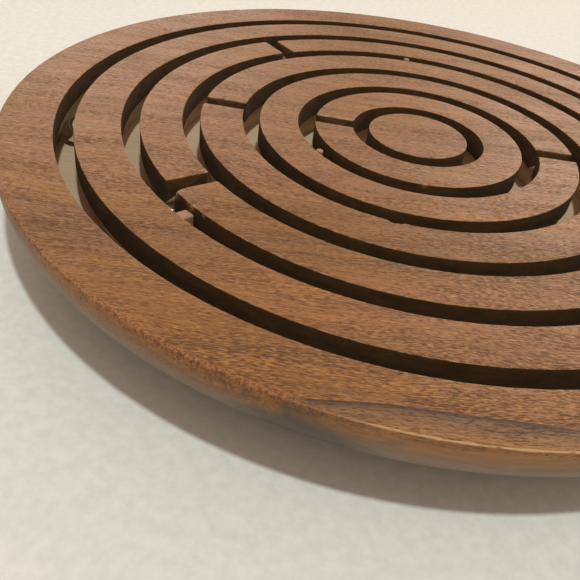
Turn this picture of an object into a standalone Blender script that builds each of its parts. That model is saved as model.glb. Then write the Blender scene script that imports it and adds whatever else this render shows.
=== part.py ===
"""Round tilt maze: a wooden disc with six ring-shaped channels and three steel balls.

The balls roll in channels that are wider than the slots above them, so they can't fall out.
Units are metres, +Z is up. The origin is the centre of the flat foot the disc stands on.
"""
import math

import bmesh
import bpy

MM = 0.001

# Overall shape.
BASE_THICKNESS = 6.8 * MM       # foot to channel floor
LIP_THICKNESS = 4.2 * MM        # wood left above the wide part of a channel
SIDE_LAND = 1.5 * MM            # upright band under the disc's upper edge
UNDERSIDE_INSET = 28.0 * MM     # how far the foot's edge is inside the upper edge

# Maze layout. Ring widths run from the outermost ring inwards.
CENTRE_RADIUS = 9.4 * MM
RING_WIDTHS = [7.8 * MM, 7.4 * MM, 7.7 * MM, 7.2 * MM, 7.2 * MM]
RIM_WIDTH = 9.1 * MM            # upper face of the broad outer ring
SLOT_WIDTH = 3.2 * MM           # narrow opening that is seen from above
GATE_WIDTH = 3.0 * MM           # opening through a ring, seen from above

# Balls and the room they need.
BALL_DIAMETER = 4.76 * MM       # 3/16 inch bearing ball
BALL_SIDE_PLAY = 2.04 * MM      # channel width beyond the ball
BALL_HEADROOM = 0.24 * MM       # channel height beyond the ball
BALL_LIFT = 0.1 * MM            # gap between a ball and the channel floor

# Stops in the channels.
BLOCK_LENGTH = 2.1 * MM         # along the channel
BLOCK_RECESS = 0.7 * MM         # block top below the upper face
PIN_DIAMETER = 1.3 * MM
PIN_RECESS = 0.2 * MM           # pin top below the upper face

# Gaps and edges.
GLUE_GAP = 0.3 * MM             # between pieces that are glued together
SLOT_EDGE = 0.25 * MM           # broken edge along slots
RIM_EDGE = 0.4 * MM             # broken edge around the disc

# Places around the disc, in degrees from +X towards +Y.
GATE_ANGLES = [[4.0], [-131.8, 138.5], [-172.2], [9.8], [-172.5]]
BLOCK_ANGLE = -124.0
PIN_PLACES = [(5, -136.3), (3, 99.5)]               # channel number, angle
# Channel number, angle, and how far the ball lies outside the channel's middle.
BALL_PLACES = [(1, -164.7, 0.0), (2, -141.3, -0.55 * MM), (2, -133.5, -1.4 * MM)]

# Sizes that follow from the ones above.
CHANNEL_WIDTH = BALL_DIAMETER + BALL_SIDE_PLAY
CHANNEL_HEIGHT = BALL_DIAMETER + BALL_HEADROOM
UNDERCUT = (CHANNEL_WIDTH - SLOT_WIDTH) / 2
FLOOR_Z = BASE_THICKNESS
LIP_Z = FLOOR_Z + CHANNEL_HEIGHT
TOP_Z = LIP_Z + LIP_THICKNESS
BALL_Z = FLOOR_Z + BALL_LIFT + BALL_DIAMETER / 2

SEGMENT_LENGTH = 6.5 * MM       # length of one facet along a turned edge
SIDE_STEPS = 10                 # facets down the rounded side
BALL_SEGMENTS = 20
BALL_RINGS = 12
PIN_SEGMENTS = 16

WOOD_BROWN = (0.30, 0.15, 0.075)
RED_BROWN = (0.33, 0.16, 0.08)
DARK_BROWN = (0.22, 0.11, 0.055)
STEEL = (0.62, 0.63, 0.64)


def ring_edges():
    """Inner and outer radius of each ring, outermost ring first."""
    edges = []
    radius = CENTRE_RADIUS
    for width in reversed(RING_WIDTHS):
        inner = radius + SLOT_WIDTH
        radius = inner + width
        edges.append((inner, radius))
    return edges[::-1]


RINGS = ring_edges()
RIM_INNER = RINGS[0][1] + SLOT_WIDTH
RIM_RADIUS = RIM_INNER + RIM_WIDTH
SLOT_OUTERS = [RIM_INNER] + [inner for inner, outer in RINGS]


def channel_radius(channel):
    """Radius of the middle of a channel; channel 1 is the outermost."""
    return SLOT_OUTERS[channel - 1] - SLOT_WIDTH / 2


def side_radius(height):
    """Radius of the disc's outside at a height: an upright band, then a quarter ellipse to the foot."""
    drop = TOP_Z - SIDE_LAND - height
    if drop <= 0:
        return RIM_RADIUS
    turn = math.asin(min(1.0, drop / (TOP_Z - SIDE_LAND)))
    return RIM_RADIUS - UNDERSIDE_INSET * (1 - math.cos(turn))


def side_points(top, bottom, steps):
    """Points down the outside from one height to another, closer together where it curves most."""
    points = []
    for step in range(steps + 1):
        height = top + (bottom - top) * math.sin(math.pi / 2 * step / steps)
        points.append((side_radius(height), height))
    return points


def material(name, color, roughness, metallic=0.0):
    made = bpy.data.materials.new(name)
    made.use_nodes = True
    shader = made.node_tree.nodes["Principled BSDF"]
    shader.inputs["Base Color"].default_value = (*color, 1)
    shader.inputs["Roughness"].default_value = roughness
    shader.inputs["Metallic"].default_value = metallic
    made.diffuse_color = (*color, 1)
    return made


def add_object(name, data, collection, surface=None):
    piece = bpy.data.objects.new(name, data)
    collection.objects.link(piece)
    if surface:
        data.materials.append(surface)
    return piece


def smooth(data):
    data.shade_smooth()
    data.set_sharp_from_angle(angle=math.radians(35))


def applied(piece):
    """Gives an object the mesh that its modifiers make."""
    evaluated = piece.evaluated_get(bpy.context.evaluated_depsgraph_get())
    made = bpy.data.meshes.new_from_object(evaluated)
    piece.modifiers.clear()
    piece.data = made


def turned(name, profile, radius, closed, collection, surface):
    """A full turn about the disc's axis. The profile runs down its outer side."""
    data = bpy.data.meshes.new(name)
    count = len(profile)
    edges = [(i, i + 1) for i in range(count - 1)]
    if closed:
        edges.append((count - 1, 0))
    data.from_pydata([(r, 0, z) for r, z in profile], edges, [])
    piece = add_object(name, data, collection, surface)
    screw = piece.modifiers.new("turn", "SCREW")
    screw.steps = segments(radius)
    screw.render_steps = screw.steps
    screw.use_merge_vertices = True
    screw.merge_threshold = 0.01 * MM
    applied(piece)
    smooth(piece.data)
    return piece


def segments(radius):
    """How many facets a full turn at a radius gets, rounded to a multiple of four."""
    return 4 * math.ceil(2 * math.pi * radius / SEGMENT_LENGTH / 4)


def turned_arc(name, profile, radius, start, end, collection, surface):
    """Part of a turn about the disc's axis: the closed profile swept from one angle to the other."""
    sweep = math.radians(end - start)
    mesh = bmesh.new()
    corners = [mesh.verts.new((r * math.cos(math.radians(start)), r * math.sin(math.radians(start)), z))
               for r, z in profile]
    first = mesh.faces.new(corners)
    steps = max(2, round(segments(radius) * sweep / (2 * math.pi)))
    bmesh.ops.spin(mesh, geom=[first], cent=(0, 0, 0), axis=(0, 0, 1), angle=sweep, steps=steps,
                   use_duplicate=False)
    bmesh.ops.recalc_face_normals(mesh, faces=mesh.faces)
    data = bpy.data.meshes.new(name)
    mesh.to_mesh(data)
    mesh.free()
    smooth(data)
    return add_object(name, data, collection, surface)


def lipped_profile(inner, outer):
    """Section of a ring: a broad lip on a narrower stem, with its upper edges broken."""
    bottom = FLOOR_Z + GLUE_GAP
    return [
        (inner + SLOT_EDGE, TOP_Z),
        (outer - SLOT_EDGE, TOP_Z),
        (outer, TOP_Z - SLOT_EDGE),
        (outer, LIP_Z),
        (outer - UNDERCUT, LIP_Z),
        (outer - UNDERCUT, bottom),
        (inner + UNDERCUT, bottom),
        (inner + UNDERCUT, LIP_Z),
        (inner, LIP_Z),
        (inner, TOP_Z - SLOT_EDGE),
    ]


def box_cutter(name, width, low, high, inner, outer, angle, collection):
    """A radial box that cuts a straight way through a ring."""
    mesh = bmesh.new()
    bmesh.ops.create_cube(mesh, size=1)
    bmesh.ops.scale(mesh, vec=(outer - inner, width, high - low), verts=mesh.verts)
    bmesh.ops.translate(mesh, vec=((inner + outer) / 2, 0, (low + high) / 2), verts=mesh.verts)
    data = bpy.data.meshes.new(name)
    mesh.to_mesh(data)
    mesh.free()
    cutter = add_object(name, data, collection)
    cutter.rotation_euler.z = math.radians(angle)
    cutter.hide_render = True
    cutter.display_type = "WIRE"
    return cutter


def cut(piece, cutter):
    boolean = piece.modifiers.new(cutter.name, "BOOLEAN")
    boolean.operation = "DIFFERENCE"
    boolean.solver = "EXACT"
    boolean.object = cutter


def gate_cutters(number, angle, collection):
    """The two cutters of one gate: a narrow slot through the lip, and a ball-wide way under it."""
    inner, outer = RINGS[number - 1]
    near = inner - SLOT_WIDTH / 2
    far = outer + SLOT_WIDTH / 2
    below = FLOOR_Z - SLOT_WIDTH
    above = TOP_Z + SLOT_WIDTH
    name = f"ring_{number}_gate_{round(angle)}"
    slot = box_cutter(f"{name}_slot", GATE_WIDTH, below, above, near, far, angle, collection)
    way = box_cutter(f"{name}_way", CHANNEL_WIDTH, below, LIP_Z, near, far, angle, collection)
    return [slot, way]


def make_base(collection, surface):
    """Lower board: the channels' flat floor, the rounded underside and the flat foot."""
    side = side_points(FLOOR_Z, 0.0, SIDE_STEPS)
    profile = [(0, FLOOR_Z)] + side + [(0, 0)]
    return turned("base_board", profile, RIM_RADIUS, False, collection, surface)


def make_rim(collection, surface):
    """Broad outer ring with the disc's upper edge; its inner edge overhangs channel 1."""
    bottom = FLOOR_Z + GLUE_GAP
    side = side_points(TOP_Z - SIDE_LAND, bottom, SIDE_STEPS // 2)
    profile = [(RIM_INNER + SLOT_EDGE, TOP_Z), (RIM_RADIUS - RIM_EDGE, TOP_Z), (RIM_RADIUS, TOP_Z - RIM_EDGE)]
    profile += side
    profile += [
        (RIM_INNER + UNDERCUT, bottom),
        (RIM_INNER + UNDERCUT, LIP_Z),
        (RIM_INNER, LIP_Z),
        (RIM_INNER, TOP_Z - SLOT_EDGE),
    ]
    return turned("rim", profile, RIM_RADIUS, True, collection, surface)


def make_centre(collection, surface):
    """Round island in the middle, overhanging channel 6."""
    profile = [
        (0, TOP_Z),
        (CENTRE_RADIUS - SLOT_EDGE, TOP_Z),
        (CENTRE_RADIUS, TOP_Z - SLOT_EDGE),
        (CENTRE_RADIUS, LIP_Z),
        (CENTRE_RADIUS - UNDERCUT, LIP_Z),
        (CENTRE_RADIUS - UNDERCUT, FLOOR_Z + GLUE_GAP),
        (0, FLOOR_Z + GLUE_GAP),
    ]
    return turned("centre_disc", profile, CENTRE_RADIUS, False, collection, surface)


def make_ring(number, collection, cutter_collection, surface):
    """A ring between two channels, as one arc from each gate to the next."""
    inner, outer = RINGS[number - 1]
    angles = GATE_ANGLES[number - 1]
    cutters = [cutter for angle in angles for cutter in gate_cutters(number, angle, cutter_collection)]
    profile = lipped_profile(inner, outer)
    clear = math.degrees(GATE_WIDTH / 4 / inner)
    arcs = []
    for index, start in enumerate(angles):
        end = angles[(index + 1) % len(angles)]
        if end <= start:
            end += 360
        name = f"ring_{number}" if len(angles) == 1 else f"ring_{number}_arc_{index + 1}"
        arc = turned_arc(name, profile, outer, start + clear, end - clear, collection, surface)
        for cutter in cutters:
            cut(arc, cutter)
        arcs.append(arc)
    return arcs


def make_stop_block(collection, surface):
    """A short piece of wood across channel 2's slot, a little lower than the upper face."""
    outer = SLOT_OUTERS[1] - GLUE_GAP
    inner = SLOT_OUTERS[1] - SLOT_WIDTH + GLUE_GAP
    top = TOP_Z - BLOCK_RECESS
    profile = [(inner, top), (outer, top), (outer, FLOOR_Z + GLUE_GAP), (inner, FLOOR_Z + GLUE_GAP)]
    half = math.degrees(BLOCK_LENGTH / 2 / channel_radius(2))
    return turned_arc("stop_block", profile, outer, BLOCK_ANGLE - half, BLOCK_ANGLE + half, collection, surface)


def make_stop_pin(index, channel, angle, collection, surface):
    """A small upright pin at the outer side of a slot; it leaves no room for a ball to pass."""
    bottom = FLOOR_Z + GLUE_GAP
    top = TOP_Z - PIN_RECESS
    mesh = bmesh.new()
    bmesh.ops.create_cone(mesh, cap_ends=True, segments=PIN_SEGMENTS, radius1=PIN_DIAMETER / 2,
                          radius2=PIN_DIAMETER / 2, depth=top - bottom)
    data = bpy.data.meshes.new(f"stop_pin_{index}")
    mesh.to_mesh(data)
    mesh.free()
    smooth(data)
    pin = add_object(f"stop_pin_{index}", data, collection, surface)
    radius = SLOT_OUTERS[channel - 1] - GLUE_GAP - PIN_DIAMETER / 2
    turn = math.radians(angle)
    pin.location = (radius * math.cos(turn), radius * math.sin(turn), (top + bottom) / 2)
    return pin


def make_ball(index, channel, angle, shift, collection, surface):
    """A steel ball on an arm from the disc's axis, about which it travels round its channel."""
    arm = bpy.data.objects.new(f"ball_{index}_orbit", None)
    arm.location = (0, 0, BALL_Z)
    arm.rotation_euler.z = math.radians(angle)
    radius = channel_radius(channel) + shift
    arm.empty_display_size = radius
    collection.objects.link(arm)
    mesh = bmesh.new()
    bmesh.ops.create_uvsphere(mesh, u_segments=BALL_SEGMENTS, v_segments=BALL_RINGS, radius=BALL_DIAMETER / 2)
    data = bpy.data.meshes.new(f"ball_{index}")
    mesh.to_mesh(data)
    mesh.free()
    data.shade_smooth()
    ball = add_object(f"ball_{index}", data, collection, surface)
    ball.parent = arm
    ball.location = (radius, 0, 0)
    return ball


def main():
    for old in list(bpy.data.objects):
        bpy.data.objects.remove(old)
    parts = bpy.data.collections.new("tilt_maze")
    cutters = bpy.data.collections.new("cutters")
    bpy.context.scene.collection.children.link(parts)
    bpy.context.scene.collection.children.link(cutters)

    make_base(parts, material("base_wood", RED_BROWN, 0.5))
    make_rim(parts, material("rim_wood", WOOD_BROWN, 0.42))
    for number in range(1, len(RINGS) + 1):
        make_ring(number, parts, cutters, material(f"ring_{number}_wood", WOOD_BROWN, 0.42))
    make_centre(parts, material("centre_wood", WOOD_BROWN, 0.42))

    stop_wood = material("stop_wood", DARK_BROWN, 0.55)
    make_stop_block(parts, stop_wood)
    for index, (channel, angle) in enumerate(PIN_PLACES, 1):
        make_stop_pin(index, channel, angle, parts, stop_wood)

    steel = material("ball_steel", STEEL, 0.15, 1.0)
    for index, (channel, angle, shift) in enumerate(BALL_PLACES, 1):
        make_ball(index, channel, angle, shift, parts, steel)


main()
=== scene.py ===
import math

import bpy
import numpy as np
from mathutils import Matrix, Vector


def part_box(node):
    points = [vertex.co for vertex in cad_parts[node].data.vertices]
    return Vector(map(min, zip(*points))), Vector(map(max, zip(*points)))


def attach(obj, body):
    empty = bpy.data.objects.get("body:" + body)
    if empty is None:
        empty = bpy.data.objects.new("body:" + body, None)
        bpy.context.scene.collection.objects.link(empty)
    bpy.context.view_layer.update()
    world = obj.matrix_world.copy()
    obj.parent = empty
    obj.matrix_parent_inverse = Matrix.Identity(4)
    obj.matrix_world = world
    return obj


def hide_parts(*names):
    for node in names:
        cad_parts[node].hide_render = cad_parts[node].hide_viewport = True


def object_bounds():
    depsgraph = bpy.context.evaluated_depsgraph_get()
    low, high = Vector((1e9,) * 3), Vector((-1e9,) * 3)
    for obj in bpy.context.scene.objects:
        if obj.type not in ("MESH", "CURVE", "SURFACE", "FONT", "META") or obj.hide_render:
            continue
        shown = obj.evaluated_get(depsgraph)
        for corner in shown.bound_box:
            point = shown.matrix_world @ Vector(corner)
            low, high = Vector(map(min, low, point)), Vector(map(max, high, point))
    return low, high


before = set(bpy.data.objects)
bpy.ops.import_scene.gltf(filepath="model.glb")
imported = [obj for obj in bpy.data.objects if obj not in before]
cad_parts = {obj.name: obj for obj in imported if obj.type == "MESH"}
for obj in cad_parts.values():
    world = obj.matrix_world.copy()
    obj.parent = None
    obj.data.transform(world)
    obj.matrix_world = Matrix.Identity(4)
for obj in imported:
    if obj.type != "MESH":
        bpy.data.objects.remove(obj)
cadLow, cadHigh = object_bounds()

scene = bpy.context.scene
mm = 0.001
print("frame loaded:", len(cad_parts), "nodes")


# Radii and heights come from the frame, in millimetres. Only what a box can't tell is written here.
disc = {
    "undercut": 1.8,  # how far a channel reaches under each lip
    "lip": 4.2,  # thickness over the channels
    "edge": 0.14,  # how far a slot's upper edge is eased
    "step": 0.4,  # distance between two columns of a ring's grid
    "gateWidth": 3.0,  # a gate in the lip
    "bendPoints": 5,  # points round each eased corner of a section
    "grainAngle": 11.0,  # the boards' grain, in degrees from +X
}


def boxOf(node):
    low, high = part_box(node)
    return np.array(low) / mm, np.array(high) / mm


def outerRadius(node):
    low, high = boxOf(node)
    return float(max(-low[0], -low[1], high[0], high[1]))


topZ = cadHigh[2] / mm
discRadius = (cadHigh[0] - cadLow[0]) / 2 / mm
floorZ = boxOf("base_board")[1][2]  # the channels' floor
lipZ = topZ - disc["lip"]


def ripple(angle, seed, slowest, fastest, count=20):
    # A sum of sine waves that each fit a whole number of times into one turn, so it closes on itself.
    rng = np.random.default_rng(seed)
    cycles = rng.integers(slowest, fastest, count)
    phase = rng.uniform(0, 2 * np.pi, count)
    return np.sin(np.asarray(angle)[..., None] * cycles + phase).mean(-1) * 3


def easedOutline(corners, eases, steps):
    # corners is (corner, column, 2) of radius and height, eases is (corner, column), and steps says
    # how many points each side gets. A corner V is eased by V + ease * ((1-s)^2 * a + s^2 * b), with
    # a and b the directions to its neighbours and s running from 0 to 1.
    before, after = np.roll(corners, 1, 0) - corners, np.roll(corners, -1, 0) - corners
    before = before / np.linalg.norm(before, axis=2, keepdims=True)
    after = after / np.linalg.norm(after, axis=2, keepdims=True)
    s = np.linspace(0, 1, disc["bendPoints"])[None, :, None, None]
    reach = eases[:, None, :, None]
    bends = corners[:, None] + reach * ((1 - s) ** 2 * before[:, None] + s**2 * after[:, None])
    rows, bendPart = [], []
    for k, inside in enumerate(steps):
        many = disc["bendPoints"] if eases[k].max() > 0 else 1
        rows.append(bends[k, :many])
        bendPart.append(4 * s[0, :many, 0, 0] * (1 - s[0, :many, 0, 0]) if many > 1 else np.zeros(1))
        t = (np.arange(inside) + 1)[:, None, None] / (inside + 1)
        start, end = bends[k, many - 1], bends[(k + 1) % len(steps), 0]
        rows.append((1 - t) * start + t * end)
        bendPart.append(np.zeros(inside))
    return np.concatenate(rows), np.concatenate(bendPart)


def gridFaces(rows, columns, wrapRows, wrapColumns, first=0):
    # Quads between neighbouring points of a grid stored row by row.
    rowEdges = rows if wrapRows else rows - 1
    columnEdges = columns if wrapColumns else columns - 1
    i, j = np.meshgrid(np.arange(rowEdges), np.arange(columnEdges), indexing="ij")
    i2, j2 = (i + 1) % rows, (j + 1) % columns
    quads = np.stack([i * columns + j, i * columns + j2, i2 * columns + j2, i2 * columns + j], -1)
    return quads.reshape(-1, 4) + first


def makePiece(name, points, quads, triangles, attributes, body, node, material):
    mesh = bpy.data.meshes.new(name)
    faces = quads.tolist() + triangles.tolist()
    mesh.from_pydata((points * mm).tolist(), [], faces)
    mesh.shade_smooth()
    for key, values in attributes.items():
        layer = mesh.attributes.new(key, "FLOAT", "POINT")
        layer.data.foreach_set("value", np.asarray(values, dtype=np.float32))
    mesh.materials.append(material)
    mesh.validate()
    piece = bpy.data.objects.new(name, mesh)
    scene.collection.objects.link(piece)
    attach(piece, body)
    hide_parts(node)


def roundPoints(radius, height, angle):
    # A point of the turned shape: radius * cos(angle), radius * sin(angle), height.
    radius, height, angle = np.broadcast_arrays(radius, height, angle)
    return np.stack([radius * np.cos(angle), radius * np.sin(angle), height], -1)


def turnedSolid(profile, columns, highPole, lowPole, wave=1.0):
    # The profile runs from top to bottom and is turned once round: radius * wave * cos(angle),
    # radius * wave * sin(angle), height. One point on the axis closes each end.
    angle = np.arange(columns) * 2 * np.pi / columns
    grid = roundPoints(profile[:, :1] * wave, profile[:, 1:], angle)
    points = np.concatenate([grid.reshape(-1, 3), [[0, 0, highPole], [0, 0, lowPole]]])
    quads = gridFaces(len(profile), columns, False, True)[:, ::-1]
    j = np.arange(columns)
    j2, last = (j + 1) % columns, (len(profile) - 1) * columns
    top = np.stack([np.full(columns, len(points) - 2), j, j2], -1)
    bottom = np.stack([np.full(columns, len(points) - 1), last + j2, last + j], -1)
    return points, quads, np.concatenate([top, bottom])


def addNode(tree, kind, inputs=None, **settings):
    made = tree.nodes.new("ShaderNode" + kind)
    for key, value in settings.items():
        setattr(made, key, value)
    for socket, value in (inputs or {}).items():
        if isinstance(value, bpy.types.NodeSocket):
            tree.links.new(value, made.inputs[socket])
        else:
            made.inputs[socket].default_value = value
    return made


def calc(tree, operation, first, second=0.0, third=0.0, clamp=False):
    sockets = {0: first, 1: second, 2: third}
    return addNode(tree, "Math", sockets, operation=operation, use_clamp=clamp).outputs[0]


def between(tree, value, low, high, first=0.0, last=1.0, kind="LINEAR"):
    sockets = {"Value": value, "From Min": low, "From Max": high, "To Min": first, "To Max": last}
    return addNode(tree, "MapRange", sockets, interpolation_type=kind).outputs["Result"]


def mixed(tree, amount, first, second, blend="MIX"):
    made = addNode(tree, "Mix", {0: amount, 6: first, 7: second}, data_type="RGBA", blend_type=blend)
    return made.outputs[2]


def tinted(tree, colour, amount):
    return mixed(tree, 1.0, colour, amount, "MULTIPLY")


def attributeOf(tree, name):
    return addNode(tree, "Attribute", attribute_name=name).outputs["Fac"]


def millimetres(tree, turn=0.0):
    # The place on the object in millimetres, turned about +Z.
    where = addNode(tree, "TexCoord").outputs["Object"]
    sockets = {"Vector": where, "Scale": (1000, 1000, 1000), "Rotation": (0, 0, turn)}
    return addNode(tree, "Mapping", sockets).outputs[0]


def stretched(tree, place, size, shift=(0, 0, 0)):
    # Squeezes the place so that one cell of a noise is size long, wide and deep.
    sockets = {"Vector": place, "Scale": [1 / s for s in size], "Location": shift}
    return addNode(tree, "Mapping", sockets).outputs[0]


def noise(tree, place, size, detail=2.0, rough=0.5, shift=(0, 0, 0), output="Fac"):
    sockets = {
        "Vector": stretched(tree, place, size, shift),
        "Scale": 1.0,
        "Detail": detail,
        "Roughness": rough,
    }
    return addNode(tree, "TexNoise", sockets).outputs[output]


def wander(tree, place, size, reach, shift):
    # Moves a place by a noise, at most half of reach to either side.
    drift = noise(tree, place, size, 2 if size[0] > 20 else 1, 0.5, shift, output="Color")
    drift = addNode(tree, "VectorMath", {0: drift, 1: (0.5, 0.5, 0.5)}, operation="SUBTRACT").outputs[0]
    drift = addNode(tree, "VectorMath", {0: drift, 1: reach}, operation="MULTIPLY").outputs[0]
    return addNode(tree, "VectorMath", {0: place, 1: drift}, operation="ADD").outputs[0]


def startMaterial(name):
    material = bpy.data.materials.new(name)
    material.use_nodes = True
    tree = material.node_tree
    tree.nodes.clear()
    shader = addNode(tree, "BsdfPrincipled")
    addNode(tree, "OutputMaterial", {"Surface": shader.outputs[0]})
    return material, tree, shader


wood = {
    "deep": (0.200, 0.080, 0.020),  # the dark bands
    "middle": (0.246, 0.097, 0.019),
    "bright": (0.325, 0.142, 0.034),  # the pale bands
    "red": (0.275, 0.104, 0.038),
    "sheenAndPalerWood": (0.330, 0.170, 0.085),  # pinker, paler wood towards the back, partly a painted sheen
    "pore": (0.50, 0.42, 0.36),  # what a pore takes off the colour around it
    "fleck": (0.42, 0.225, 0.085),
    "raw": (0.40, 0.215, 0.140),  # the stops, which were never oiled
    "bandSize": (150, 8.5, 11),  # length, width and depth of a cell, in millimetres
    "driftSize": (60, 16, 16),
    "streakSize": (36, 0.48, 0.8),
    "hairSize": (34, 0.26, 0.34),
    "fibreSize": (4.5, 0.15, 0.2),
    "crowdSize": (22, 4, 5),  # patches with more or fewer pores
    "poreSize": (0.85, 0.13, 0.16),
    "coarsePoreSize": (1.9, 0.20, 0.26),
    "specular": 0.35,
    "roughness": 0.42,
}

heart = {
    "line": (0.050, 0.024, 0.012),  # a thin dark line near the front edge
    "grey": (0.120, 0.062, 0.026),  # beside the line
    "tan": (0.280, 0.128, 0.042),  # between there and the edge
    "place": -71.0,  # millimetres across the grain
    "wave": 0.4,
}

edges = {
    # pale edges: partly worn wood, partly a painted highlight
    "wornAndHighlight": (0.50, 0.36, 0.22),
    "arrisHighlight": (0.60, 0.34, 0.16),  # painted highlight on the rim's arris, stronger to the right
    "darkTooth": (0.11, 0.038, 0.012),  # where the arris is broken
    "paleTooth": (0.38, 0.145, 0.042),
    "wall": (0.046, 0.023, 0.005),  # painted shade on the sides of the slots
    "bare": (0.60, 0.43, 0.27),  # unfinished wood inside the channels
    "floorReflection": (0.180, 0.140, 0.105),  # painted reflection of the pale floor on the lower side
    "stain": (0.062, 0.044, 0.030),  # a grey patch on the side
    "stainPlace": (-4.5, -73.5, 10.5),
    "stainReach": 8.0,
}


def grainOf(tree, seed):
    # Places along the fibres, which wander sideways and up and down, and the noises that share them.
    plain = millimetres(tree, -math.radians(disc["grainAngle"]))
    along = wander(tree, plain, (70, 26, 30), (0, 9, 6), (0, 0, 0))
    along = wander(tree, along, (9, 5, 6), (0, 1.1, 0.9), (7, 1, 3))
    flat = millimetres(tree)
    across, back, height = addNode(tree, "SeparateXYZ", {0: flat}).outputs
    return {
        "plain": plain,
        "along": along,
        "flat": flat,
        "across": across,
        "back": back,
        "height": height,
        "bands": noise(tree, along, wood["bandSize"], 3, 0.55, (seed, 3, 1)),
        "drift": noise(tree, along, wood["driftSize"], 2, 0.5, (2, seed, 9)),
        "streaks": noise(tree, along, wood["streakSize"], 4, 0.65, (5, 0, 2)),
        "fibres": noise(tree, along, wood["fibreSize"], 2, 0.6, (1, 4, 4)),
        "ragged": noise(tree, along, (5, 1.2, 1.6), 3, 0.6, (2, 2, 2)),
        "patchy": noise(tree, plain, (1.8, 0.8, 1.2), 3, 0.65, (8, 8, 8)),
    }


def grainColour(tree, grain):
    # Broad bands, a redder drift and, to the back, a pinker, paler tone that is partly paler wood and
    # partly painted sheen, then streaks, hairlines and fibres.
    bands, drift = grain["bands"], grain["drift"]
    colour = mixed(tree, between(tree, bands, 0.30, 0.52), (*wood["deep"], 1), (*wood["middle"], 1))
    colour = mixed(tree, between(tree, bands, 0.50, 0.72), colour, (*wood["bright"], 1))
    colour = mixed(tree, between(tree, drift, 0.45, 0.75, 0, 0.7), colour, (*wood["red"], 1))
    # towards the back the colour turns pinker and paler: partly paler wood, partly a painted sheen
    towardsBack = calc(tree, "MULTIPLY_ADD", drift, 40.0, grain["back"])
    colour = mixed(tree, between(tree, towardsBack, -25, 15, 0, 0.45), colour, (*wood["sheenAndPalerWood"], 1))
    colour = tinted(tree, colour, between(tree, grain["streaks"], 0.25, 0.75, 0.60, 1.36))
    hairs = noise(tree, grain["along"], wood["hairSize"], 1, 0.4, (1, 6, 2))
    colour = tinted(tree, colour, between(tree, hairs, 0.58, 0.70, 1.0, 0.68))
    return tinted(tree, colour, between(tree, grain["fibres"], 0.25, 0.75, 0.82, 1.16))


def withPores(tree, grain, colour):
    # Short dark dashes along the grain, in thick and thin patches, with pale flecks beside them.
    along = grain["along"]
    crowd = noise(tree, along, wood["crowdSize"], 2, 0.5, (3, 3, 8))
    crowding = between(tree, crowd, 0.3, 0.7, 0.10, -0.05)
    dashes = noise(tree, along, wood["poreSize"], 1.0, 0.4, (0, 9, 5))
    coarse = noise(tree, along, wood["coarsePoreSize"], 1.0, 0.4, (6, 3, 5))
    fine = between(tree, calc(tree, "SUBTRACT", dashes, crowding), 0.54, 0.61)
    coarse = between(tree, calc(tree, "SUBTRACT", coarse, crowding), 0.63, 0.69, 0, 0.85)
    pores = calc(tree, "MAXIMUM", fine, coarse)
    pores = calc(tree, "MULTIPLY", pores, between(tree, grain["height"], 14.4, 15.7, 0.25, 1.0))
    colour = mixed(tree, between(tree, dashes, 0.42, 0.30, 0, 0.6), colour, (*wood["fleck"], 1))
    return pores, mixed(tree, pores, colour, tinted(tree, colour, (*wood["pore"], 1)))


def withHeart(tree, grain, pores, colour):
    # The heart line, dark and thin. Olive wood lies just outside it, then tan wood up to the edge.
    rowsAcross = addNode(tree, "SeparateXYZ", {0: grain["plain"]}).outputs[1]
    wave = noise(tree, grain["plain"], (14, 400, 400), 2, 0.5, (4, 0, 0))
    gap = calc(tree, "SUBTRACT", heart["place"], rowsAcross)
    gap = calc(tree, "ADD", gap, between(tree, wave, 0, 1, -heart["wave"], heart["wave"]))
    gap = calc(tree, "SUBTRACT", gap, between(tree, grain["across"], 3, -6, 0, 0.9))
    nearby = between(tree, calc(tree, "MULTIPLY_ADD", grain["ragged"], -2.6, gap), -1.0, 1.9, 1.0, 0.0)
    zone = mixed(tree, nearby, (*heart["tan"], 1), (*heart["grey"], 1))
    zone = tinted(tree, zone, between(tree, grain["streaks"], 0.25, 0.75, 0.7, 1.3))
    zone = mixed(tree, pores, zone, tinted(tree, zone, (*wood["pore"], 1)))
    colour = mixed(tree, between(tree, gap, 0.0, 0.15), colour, zone)
    line = calc(tree, "MULTIPLY", between(tree, gap, -0.1, 0.0), between(tree, gap, 0.12, 0.6, 1, 0))
    line = calc(tree, "MULTIPLY", line, between(tree, grain["height"], 14.8, 15.6, 0.25, 0.85))
    return mixed(tree, line, colour, (*heart["line"], 1))


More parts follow.
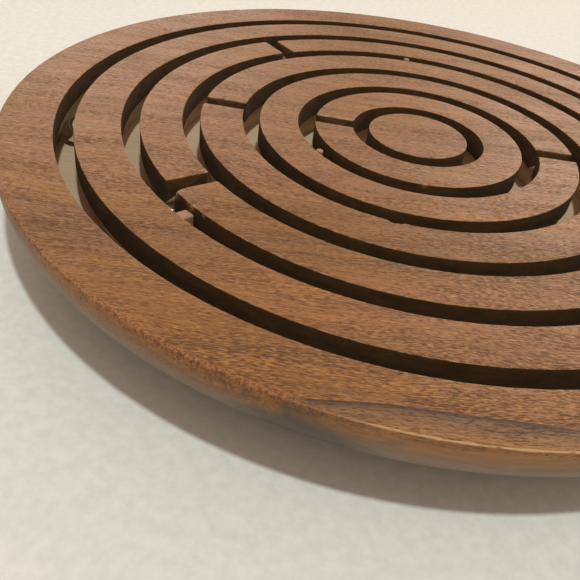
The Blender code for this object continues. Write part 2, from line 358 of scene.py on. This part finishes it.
def withSide(tree, grain, arris, colour):
    # A painted reflection of the pale floor towards the bottom of the side, a soft stain with a ragged
    # outline, and the arris broken into teeth to the left.
    flat, ragged, height = grain["flat"], grain["ragged"], grain["height"]
    away = addNode(tree, "VectorMath", {0: flat, 1: edges["stainPlace"]}, operation="SUBTRACT").outputs[0]
    away = addNode(tree, "VectorMath", {0: away, 1: (0.8, 0.8, 2.0)}, operation="MULTIPLY").outputs[0]
    away = addNode(tree, "VectorMath", {0: away}, operation="LENGTH").outputs["Value"]
    away = calc(tree, "MULTIPLY_ADD", ragged, 5.0, away)
    widest, narrowest = edges["stainReach"] * 1.35, edges["stainReach"] * 0.7
    stained = between(tree, away, widest, narrowest, 0, 0.85, "SMOOTHSTEP")
    stained = calc(tree, "MULTIPLY", stained, between(tree, height, 15.3, 14.2))
    # greyer towards the bottom of the side: a painted reflection of the pale floor
    lower = calc(tree, "MULTIPLY_ADD", ragged, 2.0, height)
    colour = mixed(tree, between(tree, lower, 15.8, 12.2, 0, 0.75), colour, (*edges["floorReflection"], 1))
    colour = mixed(tree, stained, colour, (*edges["stain"], 1))
    teeth = noise(tree, flat, (0.34, 0.34, 0.6), 2, 0.6, (4, 8, 1))
    tooth = between(tree, teeth, 0.42, 0.58)
    tooth = mixed(tree, tooth, (*edges["darkTooth"], 1), (*edges["paleTooth"], 1))
    leftward = between(tree, grain["across"], 2, -8, 0, 0.7)
    return mixed(tree, calc(tree, "MULTIPLY", arris, leftward), colour, tooth)


def withEdges(tree, grain, arris, wall, inside, colour):
    # Worn edges are paler, partly worn wood and partly painted highlight; the rim's arris gets a painted
    # highlight to the right; the slots' walls are darkened as painted shade; the channels inside are left
    # bare.
    wearAndHighlight = attributeOf(tree, "wearAndHighlight")
    wornAndHighlight = calc(tree, "MULTIPLY", wearAndHighlight, between(tree, grain["patchy"], 0.50, 0.68, 0.0, 0.85))
    wornAndHighlight = calc(tree, "MULTIPLY", wornAndHighlight, between(tree, arris, 0, 1, 1.0, 0.15))
    colour = mixed(tree, wornAndHighlight, colour, (*edges["wornAndHighlight"], 1))
    # a painted highlight along the rim's arris, growing towards the right
    arrisHighlight = calc(tree, "MULTIPLY", arris, between(tree, grain["across"], -6, 10))
    arrisHighlight = calc(tree, "MULTIPLY", arrisHighlight, between(tree, grain["patchy"], 0.34, 0.44, 0.3, 1.0))
    colour = mixed(tree, calc(tree, "MULTIPLY", arrisHighlight, wearAndHighlight), colour, (*edges["arrisHighlight"], 1))
    # the slots' walls are darkened as painted shade, a little unevenly
    wallShadeMottle = noise(tree, grain["plain"], (4, 4, 1.5), 3, 0.6, (6, 2, 7))
    wallShade = calc(tree, "MULTIPLY", wall, between(tree, wallShadeMottle, 0.3, 0.7, 0.80, 1.0))
    colour = mixed(tree, wallShade, colour, (*edges["wall"], 1))
    pale = tinted(tree, (*edges["bare"], 1), between(tree, grain["streaks"], 0.25, 0.75, 0.86, 1.1))
    return mixed(tree, inside, colour, pale)


def woodMaterial(name, raw=0.0, seed=0.0):
    material, tree, shader = startMaterial(name)
    grain = grainOf(tree, seed)
    arris, wall, inside = (attributeOf(tree, key) for key in ("arris", "wall", "bare"))
    pores, colour = withPores(tree, grain, grainColour(tree, grain))
    colour = withHeart(tree, grain, pores, colour)
    colour = withSide(tree, grain, arris, colour)
    colour = withEdges(tree, grain, arris, wall, inside, colour)
    if raw:
        colour = mixed(tree, raw, colour, (*wood["raw"], 1))
    tree.links.new(colour, shader.inputs["Base Color"])

    # satin: the pores and the walls are duller
    gloss = noise(tree, grain["along"], (12, 3, 3), 3, 0.6, (1, 1, 6))
    rough = calc(tree, "ADD", between(tree, gloss, 0.25, 0.75, -0.06, 0.08), wood["roughness"])
    rough = calc(tree, "MULTIPLY_ADD", pores, 0.15, rough)
    rough = calc(tree, "MULTIPLY_ADD", wall, 0.55, rough)
    rough = calc(tree, "MULTIPLY_ADD", inside, 0.3, rough, clamp=True)
    tree.links.new(rough, shader.inputs["Roughness"])
    shader.inputs["Specular IOR Level"].default_value = wood["specular"]

    # height in millimetres: sunk pores, raised fibres, a slow sanding wave
    relief = calc(tree, "MULTIPLY", pores, -0.03)
    relief = calc(tree, "MULTIPLY_ADD", grain["fibres"], 0.02, relief)
    relief = calc(tree, "MULTIPLY_ADD", grain["streaks"], 0.04, relief)
    sanding = noise(tree, grain["plain"], (11, 11, 11), 2, 0.5, (9, 9, 1))
    relief = calc(tree, "MULTIPLY_ADD", sanding, 0.2, relief)
    bump = addNode(tree, "Bump", {"Height": relief, "Strength": 1.0, "Distance": mm}).outputs[0]
    tree.links.new(bump, shader.inputs["Normal"])
    return material


steel = {
    "bright": (0.86, 0.88, 0.83),
    "hazy": (0.66, 0.68, 0.63),
    "smoothest": 0.11,
    "roughest": 0.22,
}


def steelMaterial(name, seed):
    material, tree, shader = startMaterial(name)
    place = millimetres(tree)
    haze = noise(tree, place, (1.6, 1.6, 1.6), 3, 0.6, (seed, 1, 2))
    colour = mixed(tree, between(tree, haze, 0.35, 0.7), (*steel["bright"], 1), (*steel["hazy"], 1))
    tree.links.new(colour, shader.inputs["Base Color"])
    shader.inputs["Metallic"].default_value = 1.0
    rough = between(tree, haze, 0.3, 0.75, steel["smoothest"], steel["roughest"])
    tree.links.new(rough, shader.inputs["Roughness"])
    scratch = noise(tree, place, (0.9, 0.05, 0.2), 2, 0.5, (3, seed, 2))
    bump = addNode(tree, "Bump", {"Height": scratch, "Strength": 0.12, "Distance": 0.02 * mm}).outputs[0]
    tree.links.new(bump, shader.inputs["Normal"])
    return material


boardWood = woodMaterial("walnutBoard")
stopWood = woodMaterial("stopWood", raw=0.7, seed=9.0)
print("materials made")


rim = {
    "columns": 960,
    "width": 9.1,
    "sideLand": 1.5,  # the side stands upright this far below the top
    "sideRows": 21,
    "inset": 28.0,  # how far the side draws in down to the foot
    "edge": 0.24,
    "edgeVaries": 0.3,  # share by which an eased edge is uneven
    "lipEase": 0.15,
    "channelEase": 0.3,
    "arris": 0.8,  # how far down the side the arris band shows, worn into teeth and with a painted highlight
    "topBand": 0.9,  # a row of points this far in from the edge
}


def sideRadius(height):
    # A quarter of an ellipse: radius - inset * (1 - cos t), with sin t the share of the way down
    # from the land to the foot.
    sine = np.clip((topZ - rim["sideLand"] - height) / (topZ - rim["sideLand"]), 0, 1)
    return discRadius - rim["inset"] * (1 - np.sqrt(1 - sine**2))


def rimSection():
    # Each row: radius, height, ease, points on the side after it, then wear and highlight, wall (painted
    # shade), bare and arris there.
    slotOuter, channel = discRadius - rim["width"], discRadius - rim["width"] + disc["undercut"]
    section = [
        (slotOuter, topZ, disc["edge"], 12, 1, 1, 0, 0),
        (slotOuter, lipZ, rim["lipEase"], 2, 0, 0, 1, 0),
        (channel, lipZ, rim["channelEase"], 3, 0, 0, 1, 0),
        (channel, floorZ, 0, 1, 0, 0, 1, 0),
        (sideRadius(floorZ), floorZ, 0, 0, 0, 0, 0, 0),
    ]
    heights = np.linspace(topZ - rim["sideLand"], floorZ, rim["sideRows"] + 1)[-2::-1]
    section += [(sideRadius(z), z, 0, 0, 0, 0, 0, 0) for z in heights[:-1]]
    section += [
        (sideRadius(heights[-1]), heights[-1], 0, 1, 0, 0, 0, 0),
        (discRadius, topZ - rim["arris"], 0, 1, 0, 0, 0, 0.6),
        (discRadius, topZ, rim["edge"], 1, 1, 0, 0, 1),
        (discRadius - rim["topBand"], topZ, 0, 10, 0, 0, 0, 0),
    ]
    return np.array(section)


def rimPiece(columns, seed):
    # The section, with its corners eased unevenly, turned once round.
    section = rimSection()
    angle = np.arange(columns) * 2 * np.pi / columns
    corners = section[:, None, :2].repeat(columns, 1)
    ease = section[:, 2:3] * (1 + rim["edgeVaries"] * ripple(angle, seed, 3, 160)[None])
    steps = section[:, 3].astype(int)
    outline, bendPart = easedOutline(corners, ease, steps)
    counts = np.where(section[:, 2] > 0, disc["bendPoints"], 1) + steps
    wearAndHighlight, wall, bare, arris = section[:, 4:].repeat(counts, 0).T
    wall[: disc["bendPoints"] // 2 + 1] = 0  # the first corner's upper half belongs to the top
    points = roundPoints(outline[..., 0], outline[..., 1], angle[None]).reshape(-1, 3)
    values = {"wearAndHighlight": wearAndHighlight * bendPart, "wall": wall, "bare": bare, "arris": arris}
    attributes = {key: v.repeat(columns) for key, v in values.items()}
    return points, gridFaces(len(outline), columns, True, True), np.empty((0, 3), int), attributes


points, quads, triangles, attributes = rimPiece(rim["columns"], 11)
makePiece("rimWood", points, quads, triangles, attributes, "board", "rim", boardWood)
print("rim made")


base = {"columns": 480, "sideRows": 25, "floorRings": 16, "footRings": 8}


def basePiece():
    # The floor from its centre outwards, down the curved side and back to the foot's centre.
    lower = np.linspace(floorZ, 0.0, base["sideRows"] + 1)
    side = np.stack([sideRadius(lower), lower], -1)[1:]
    floorRadii = np.linspace(0, sideRadius(floorZ), base["floorRings"] + 1)[1:]
    footRadii = np.linspace(side[-1, 0], 0, base["footRings"] + 1)[1:-1]
    profile = np.concatenate([
        np.stack([floorRadii, np.full(len(floorRadii), floorZ)], -1),
        side,
        np.stack([footRadii, np.zeros(len(footRadii))], -1),
    ])
    points, quads, triangles = turnedSolid(profile, base["columns"], floorZ, 0.0)
    bare = np.arange(len(profile)).repeat(base["columns"]) < base["floorRings"] - 1
    return points, quads, triangles, {"bare": np.append(bare, [True, False])}


points, quads, triangles, attributes = basePiece()
makePiece("baseWood", points, quads, triangles, attributes, "board", "base_board", boardWood)
print("base made")


rings = {
    "widths": {"ring_1": 7.8, "ring_2": 7.4, "ring_3": 7.7, "ring_4": 7.2, "ring_5": 7.2},
    "gates": {
        "ring_1": [4.0],
        "ring_2": [-131.8, 138.5],
        "ring_3": [-172.2],
        "ring_4": [9.8],
        "ring_5": [-172.5],
    },
    "lowerEase": 0.08,
    "leastEase": 0.05,
    "easeVaries": 0.35,  # share by which an eased edge is uneven
    "stemEase": 0.1,
    "stemBite": 0.3,  # how far a stem runs up into its lip
    "endEase": 0.3,
    "endShade": 0.8,  # how much painted shade the gates' sides get, with 1 for the slots' walls
    "turnSteps": 5,  # columns in which an end is eased over
    "capShares": [0.0, 0.35, 0.7],  # sizes of the shrinking columns that close an end
    "crowding": 0.55,  # how much closer the columns stand near a gate
    "chips": {  # which edge, angle and reach
        "ring_2_arc_1": [("outer", -130.0, 1.3), ("outer", -125.0, 1.1), ("outer", -121.5, 0.6)],
        "ring_3": [("inner", -91.2, 0.6), ("inner", -90.1, 0.8), ("inner", -88.6, 0.6)],
        "ring_5": [("outer", -80.6, 0.6)],
    },
    "chipDepth": 0.6,  # share of the reach, and of the way to the chip's inner point
    "chipHalo": 1.4,  # how far round a chip, in reaches, wear is added and the walls' painted shade taken off
}


def barColumns(inner, outer, startGate, endGate):
    # For each column of a bar: the share of the way round, how near the end it has come, how far its
    # section draws in, and the share that a closing column shrinks to.
    end, caps = rings["endEase"], np.array(rings["capShares"])
    many = int(math.radians(endGate - startGate) * (inner + outer) / 2 / disc["step"])
    t = np.linspace(0, 1, many)
    u = t - rings["crowding"] * np.sin(2 * np.pi * t) / (2 * np.pi)
    turn = np.linspace(0, np.pi / 2, rings["turnSteps"] + 1)[1:]
    cap, extra, still = np.ones(len(caps)), len(caps) + len(turn), np.zeros(many)
    u = np.concatenate([np.zeros(extra), u, np.ones(extra)])
    nearer = np.concatenate([cap, np.sin(turn[::-1]), still, np.sin(turn), cap]) * end
    inset = np.concatenate([cap, 1 - np.cos(turn[::-1]), still, 1 - np.cos(turn), cap]) * end
    shrink = np.concatenate([caps, np.ones(many + 2 * len(turn)), caps[::-1]])
    return u, nearer, inset, shrink


def sweptBar(inner, outer, low, high, startGate, endGate, halfGap, ease, seed, topSteps=6, wallSteps=10):
    # A rounded rectangle carried round from one gate to the next. A column's angle runs evenly from
    # start + asin(halfGap / radius) to end - asin(halfGap / radius), so the gates' sides are parallel.
    # At each end the section draws in by endEase * (1 - cos t) while it moves on by endEase * sin t.
    end, bend, least = rings["endEase"], disc["bendPoints"], rings["leastEase"]
    u, nearer, inset, shrink = barColumns(inner, outer, startGate, endGate)
    start, finish = math.radians(startGate), math.radians(endGate)
    middle = np.array([(inner + outer) / 2, (low + high) / 2])
    signs = np.array([(1, 1), (-1, 1), (-1, -1), (1, -1)])
    half = np.array([(outer - inner) / 2, (high - low) / 2])
    corner = middle + signs[:, None] * (half - inset[None, :, None])
    uneven = 1 + rings["easeVaries"] * ripple(start + u * math.radians(endGate - startGate), seed, 5, 170)
    easing = np.array([ease, ease, rings["lowerEase"], rings["lowerEase"]])[:, None] * uneven[None]
    easing = np.maximum(easing - 0.6 * inset[None], least)
    outline, bendPart = easedOutline(corner, easing, [topSteps, wallSteps, 2, wallSteps])
    outline = middle + shrink[None, :, None] * (outline - middle)
    radius = outline[..., 0]
    gap = np.arcsin((halfGap + end - nearer)[None] / radius)
    points = roundPoints(radius, outline[..., 1], (1 - u) * (start + gap) + u * (finish - gap))

    # the upper corners and the top between them come first, then a wall, the underside and a wall
    rows = np.arange(len(outline))[:, None]
    top = (rows < topSteps + 2 * bend) * 1.0
    face = (rows >= bend // 2) & (rows < topSteps + 2 * bend - bend // 2)
    under = (rows >= topSteps + wallSteps + 2 * bend + 2) & (rows < len(outline) - wallSteps - 2)
    ends = np.clip(nearer / end, 0, 1)[None]
    wearAndHighlight = np.maximum(bendPart[:, None] * top + 0 * ends, top * face * 4 * ends * (1 - ends))
    # wall says where the sides get painted shade; the gates' ends get a share of it
    wall = np.maximum((~face & ~under) * 1.0, (ends > 0.85) * rings["endShade"])
    return points, {"wearAndHighlight": wearAndHighlight, "wall": wall * (1 - under), "bare": under + 0 * ends}


def barFaces(points, first):
    # Quads along the bar. The first and last columns have shrunk to one point each and close it.
    rows, columns = points.shape[:2]
    inside = points[:, 1:-1].reshape(-1, 3)
    quads = gridFaces(rows, columns - 2, True, False, first)
    k, wide = np.arange(rows), columns - 2
    here, beyond = first + k * wide, first + (k + 1) % rows * wide
    pole = np.full(rows, first + rows * wide)
    start = np.stack([pole, here, beyond], -1)
    finish = np.stack([pole + 1, beyond + wide - 1, here + wide - 1], -1)
    flat = np.concatenate([inside, [points[0, 0], points[0, -1]]])
    return flat, quads, np.concatenate([start, finish])


def flatValues(values):
    return {key: np.concatenate([v[:, 1:-1].ravel(), [v[0, 0], v[0, -1]]]) for key, v in values.items()}


def ringPiece(outer, width, startGate, endGate, seed, chips):
    # The lip and, under it, the narrower stem. A chip bares fresh wood round it.
    inner, cut, halfGate = outer - width, disc["undercut"], disc["gateWidth"] / 2
    lip = sweptBar(inner, outer, lipZ, topZ, startGate, endGate, halfGate, disc["edge"], seed)
    stemHigh, stemEase = lipZ + rings["stemBite"], rings["stemEase"]
    stem = sweptBar(
        inner + cut, outer - cut, floorZ, stemHigh, startGate, endGate, halfGate + cut, stemEase, seed, 3, 3
    )
    lipPoints, lipQuads, lipTriangles = barFaces(lip[0], 0)
    stemPoints, stemQuads, stemTriangles = barFaces(stem[0], len(lipPoints))
    values, count = flatValues(lip[1]), len(stemPoints)
    attributes = {key: np.append(v, np.full(count, 1.0 * (key == "bare"))) for key, v in values.items()}
    points = np.concatenate([lipPoints, stemPoints])
    for centre, reach, _ in chips:
        near = np.clip(rings["chipHalo"] - np.linalg.norm(points - np.array(centre), axis=-1) / reach, 0, 1)
        attributes["wearAndHighlight"] = np.maximum(attributes["wearAndHighlight"], near * (attributes["bare"] < 0.5))
        attributes["wall"] = attributes["wall"] * (1 - near)
    quads, triangles = np.concatenate([lipQuads, stemQuads]), np.concatenate([lipTriangles, stemTriangles])
    return chipped(points, chips), quads, triangles, attributes


def chipped(points, chips):
    # Each chip draws the points within its reach towards its inner point, most at its centre.
    for centre, reach, inner in chips:
        away = np.linalg.norm(points - np.array(centre), axis=-1) / reach
        pull = rings["chipDepth"] * np.clip(1 - away, 0, 1) ** 0.7
        points = points + pull[..., None] * (np.array(inner) - points)
    return points


def chipsOf(node, outer, width):
    # A chip's centre is on the upper edge, and its inner point lies in the wood below and beside it.
    chips = []
    for edge, angle, reach in rings["chips"].get(node, []):
        radius, away = (outer, -1) if edge == "outer" else (outer - width, 1)
        radii = np.array([radius, radius + away * 0.5 * reach])
        heights = np.array([topZ, topZ - rings["chipDepth"] * reach])
        centre, inner = roundPoints(radii, heights, math.radians(angle))
        chips.append((centre, reach, inner))
    return chips


for number, (ring, width) in enumerate(rings["widths"].items()):
    gates = rings["gates"][ring]
    nodes = [ring] if len(gates) == 1 else [ring + "_arc_1", ring + "_arc_2"]
    outer = max(outerRadius(node) for node in nodes)
    for part, node in enumerate(nodes):
        end = gates[(part + 1) % len(gates)] + (360 if part + 1 == len(gates) else 0)
        name, seed, chips = node.replace("_", ""), 20 + 7 * number + part, chipsOf(node, outer, width)
        points, quads, triangles, attributes = ringPiece(outer, width, gates[part], end, seed, chips)
        makePiece(name, points, quads, triangles, attributes, "board", node, boardWood)
print("rings made")


centre = {
    "columns": 300,
    "edge": 0.2,
    "bendPoints": 6,
    "topRings": 7,
    "outOfRound": 0.0012,  # share of the radius
    "wallDrops": [1.2, 3.2, 4.0],  # below the top, where the lip's wall has a row of points
}


def centrePiece():
    # A turned T: the lip's flat top, its eased edge and wall, then the stem down to the floor.
    outer = outerRadius("centre_disc")
    cut, many = outer - disc["undercut"], centre["bendPoints"]
    s = np.linspace(0, 1, many)
    bend = centre["edge"] * np.stack([-((1 - s) ** 2), -(s**2)], -1) + [outer, topZ]
    radii = np.linspace(0, outer - centre["edge"], centre["topRings"] + 2)[1:-1]
    profile = np.concatenate([
        np.stack([radii, np.full(len(radii), topZ)], -1),
        bend,
        [(outer, topZ - drop) for drop in centre["wallDrops"]],
        [(outer, lipZ), (cut, lipZ), (cut, (lipZ + floorZ) / 2), (cut, floorZ), (cut / 2, floorZ)],
    ])
    count = centre["columns"]
    wave = 1 + centre["outOfRound"] * ripple(np.arange(count) * 2 * np.pi / count, 5, 3, 40)
    points, quads, triangles = turnedSolid(profile, count, topZ, floorZ, wave)
    row = np.arange(len(profile)) - len(radii)
    wearAndHighlight = np.zeros(len(profile))
    wearAndHighlight[len(radii) : len(radii) + many] = 4 * s * (1 - s)
    lowest = many + len(centre["wallDrops"])
    values = {"wearAndHighlight": wearAndHighlight, "wall": (row >= many - 2) & (row < lowest), "bare": row >= lowest}
    attributes = {key: np.append((1.0 * v).repeat(count), [0, key == "bare"]) for key, v in values.items()}
    return points, quads, triangles, attributes


points, quads, triangles, attributes = centrePiece()
node, slot = "centre_disc", "centre_wood"
makePiece("centreWood", points, quads, triangles, attributes, "board", node, boardWood)
print("centre made")


stops = {
    "blockLength": 2.1,
    "blockWidth": 2.6,
    "blockEase": 0.3,
    # share of the walls' painted shade on the block's sides
    "blockShade": 0.35,
    "bite": 0.05,  # how far the block is pressed into the wall
    "pinDome": 0.25,
    "pinColumns": 64,
}


def blockPiece():
    # A short bar, made as the rings are, pressed against the outer wall of the slot.
    low, high = boxOf("stop_block")
    middle = (low + high) / 2
    around = math.degrees(math.atan2(middle[1], middle[0]))
    outer = outerRadius("ring_1") - rings["widths"]["ring_1"] + stops["bite"]
    inner = outer - stops["blockWidth"]
    half = math.degrees(stops["blockLength"] / (inner + outer))
    start, end, ease = around - half, around + half, stops["blockEase"]
    grid, values = sweptBar(inner, outer, low[2], high[2], start, end, 0.0, ease, 77, 6, 6)
    flat, quads, triangles = barFaces(grid, 0)
    values = flatValues(values)
    attributes = {"wearAndHighlight": values["wearAndHighlight"], "wall": values["wall"] * stops["blockShade"]}
    return flat, quads, triangles, attributes


def pinPiece(node):
    # A dowel: its top is eased over by dome * (1 - cos t), and below that its radius is constant.
    low, high = boxOf(node)
    middle = (low + high) / 2
    radius, dome = (high[0] - low[0]) / 2, stops["pinDome"]
    t = np.linspace(np.pi / 2, 0, 8)
    profile = np.concatenate([
        [(radius / 2, high[2])],
        np.stack([radius - dome * (1 - np.cos(t)), high[2] - dome * (1 - np.sin(t))], -1),
        [(radius, middle[2]), (radius, low[2])],
    ])
    points, quads, triangles = turnedSolid(profile, stops["pinColumns"], high[2], low[2])
    wearAndHighlight = np.concatenate([[0], np.sin(2 * t), [0, 0]]).repeat(stops["pinColumns"])
    return points + [middle[0], middle[1], 0], quads, triangles, {"wearAndHighlight": np.append(wearAndHighlight, [0, 0])}


points, quads, triangles, attributes = blockPiece()
makePiece("stopBlock", points, quads, triangles, attributes, "board", "stop_block", stopWood)
for node in ("stop_pin_1", "stop_pin_2"):
    points, quads, triangles, attributes = pinPiece(node)
    name = node.replace("_", "")
    makePiece(name, points, quads, triangles, attributes, "board", node, stopWood)
print("stops made")


balls = {"columns": 72, "rows": 35}


def ballPiece(node):
    # A half circle, radius * sin v and height + radius * cos v, turned once round the ball's own middle.
    low, high = boxOf(node)
    middle, radius = (low + high) / 2, (high[2] - low[2]) / 2
    v = np.linspace(0, np.pi, balls["rows"] + 2)[1:-1]
    profile = radius * np.stack([np.sin(v), np.cos(v)], -1)
    points, quads, triangles = turnedSolid(profile, balls["columns"], radius, -radius)
    return points + middle, quads, triangles


for number in (1, 2, 3):
    node = f"ball_{number}"
    points, quads, triangles = ballPiece(node)
    steelFinish = steelMaterial(f"ballSteel{number}", number * 3.0)
    makePiece(f"ball{number}", points, quads, triangles, {}, node, node, steelFinish)
print("balls made")


stage = {
    "floorSize": 3.0,
    "floorLines": 9,
    "floorGap": 0.02,  # millimetres under the disc, so that the two faces never share a plane
    "floorColour": (0.80, 0.79, 0.74),
    "worldColour": (1.0, 0.84, 0.70),
    "worldStrength": 0.52,
    "keyPower": 4.9,
    "keyDistance": 1.0,
    "keySize": 0.06,
    "keyAzimuth": -71.0,  # towards the light, in degrees from +X
    "keyElevation": 73.0,
    "keyColour": (0.90, 1.0, 0.99),
    # two low panels behind the disc, which show as a sheen on the wood:
    # azimuth, elevation, width, height, power
    "panels": [(66.0, 30.0, 0.8, 0.55, 5.2), (122.0, 17.0, 0.7, 0.42, 2.4)],
    "panelDistance": 1.2,
    "panelColour": (1.0, 0.80, 0.68),
}


def placeLight(name, shape, size, power, colour, azimuth, elevation, distance):
    # An area light at that distance from the disc, facing it.
    azimuth, elevation = math.radians(azimuth), math.radians(elevation)
    across = math.cos(elevation)
    toLight = Vector((across * math.cos(azimuth), across * math.sin(azimuth), math.sin(elevation)))
    data = bpy.data.lights.new(name, "AREA")
    data.shape = shape
    data.size = size[0]
    data.size_y = size[1]
    data.energy = power
    data.color = colour
    light = bpy.data.objects.new(name, data)
    light.location = toLight * distance
    light.rotation_mode = "QUATERNION"
    light.rotation_quaternion = toLight.to_track_quat("Z", "Y")
    scene.collection.objects.link(light)


def makeFloor():
    # A flat square grid just under the disc.
    count = stage["floorLines"]
    side = np.linspace(-stage["floorSize"] / 2, stage["floorSize"] / 2, count) / mm
    x, y = np.meshgrid(side, side, indexing="ij")
    points = np.stack([x, y, 0 * x + cadLow[2] / mm - stage["floorGap"]], -1).reshape(-1, 3)
    mesh = bpy.data.meshes.new("stageFloor")
    mesh.from_pydata((points * mm).tolist(), [], gridFaces(count, count, False, False)[:, ::-1].tolist())
    floor = bpy.data.objects.new("stageFloor", mesh)
    scene.collection.objects.link(floor)
    material, tree, shader = startMaterial("stageFloorPale")
    mottle = noise(tree, millimetres(tree), (1.8, 1.8, 1.8), 4, 0.65)
    duller = [c * 0.90 for c in stage["floorColour"]]
    colour = mixed(tree, between(tree, mottle, 0.35, 0.65), (*duller, 1), (*stage["floorColour"], 1))
    tree.links.new(colour, shader.inputs["Base Color"])
    shader.inputs["Roughness"].default_value = 0.95
    shader.inputs["Specular IOR Level"].default_value = 0.1
    mesh.materials.append(material)


def makeLights():
    world = bpy.data.worlds.new("paleRoom")
    world.use_nodes = True
    background = world.node_tree.nodes["Background"]
    background.inputs["Color"].default_value = (*stage["worldColour"], 1)
    background.inputs["Strength"].default_value = stage["worldStrength"]
    scene.world = world
    size, azimuth, elevation = [stage["keySize"]] * 2, stage["keyAzimuth"], stage["keyElevation"]
    power, colour, distance = stage["keyPower"], stage["keyColour"], stage["keyDistance"]
    placeLight("keyLight", "DISK", size, power, colour, azimuth, elevation, distance)
    colour, distance = stage["panelColour"], stage["panelDistance"]
    for number, (azimuth, elevation, width, height, power) in enumerate(stage["panels"], 1):
        size, name = (width, height), f"backPanel{number}"
        placeLight(name, "RECTANGLE", size, power, colour, azimuth, elevation, distance)


view = {
    "distance": 0.124794,  # in front of the disc's centre
    "height": 0.069506,  # above the floor
    "yaw": -0.15654,
    "pitch": 0.65755,  # downwards
    "roll": 0.15654,
    "lens": 42.507,
}


def makeCamera():
    yaw, pitch, roll = view["yaw"], view["pitch"], view["roll"]
    forward = Vector((math.sin(yaw) * math.cos(pitch), math.cos(yaw) * math.cos(pitch), -math.sin(pitch)))
    level = Vector((math.cos(yaw), -math.sin(yaw), 0))
    upright = level.cross(forward)
    right = level * math.cos(roll) + upright * math.sin(roll)
    up = -level * math.sin(roll) + upright * math.cos(roll)
    data = bpy.data.cameras.new("camera")
    data.lens = view["lens"]
    data.sensor_width = 36
    data.clip_start = 0.005
    camera = bpy.data.objects.new("camera", data)
    turn = Matrix((right, up, -forward)).transposed().to_4x4()
    camera.matrix_world = Matrix.Translation((0, -view["distance"], cadLow[2] + view["height"])) @ turn
    scene.collection.objects.link(camera)
    scene.camera = camera


makeFloor()
makeLights()
makeCamera()
scene.view_settings.view_transform = "Standard"
print("stage made")

bpy.context.view_layer.update()
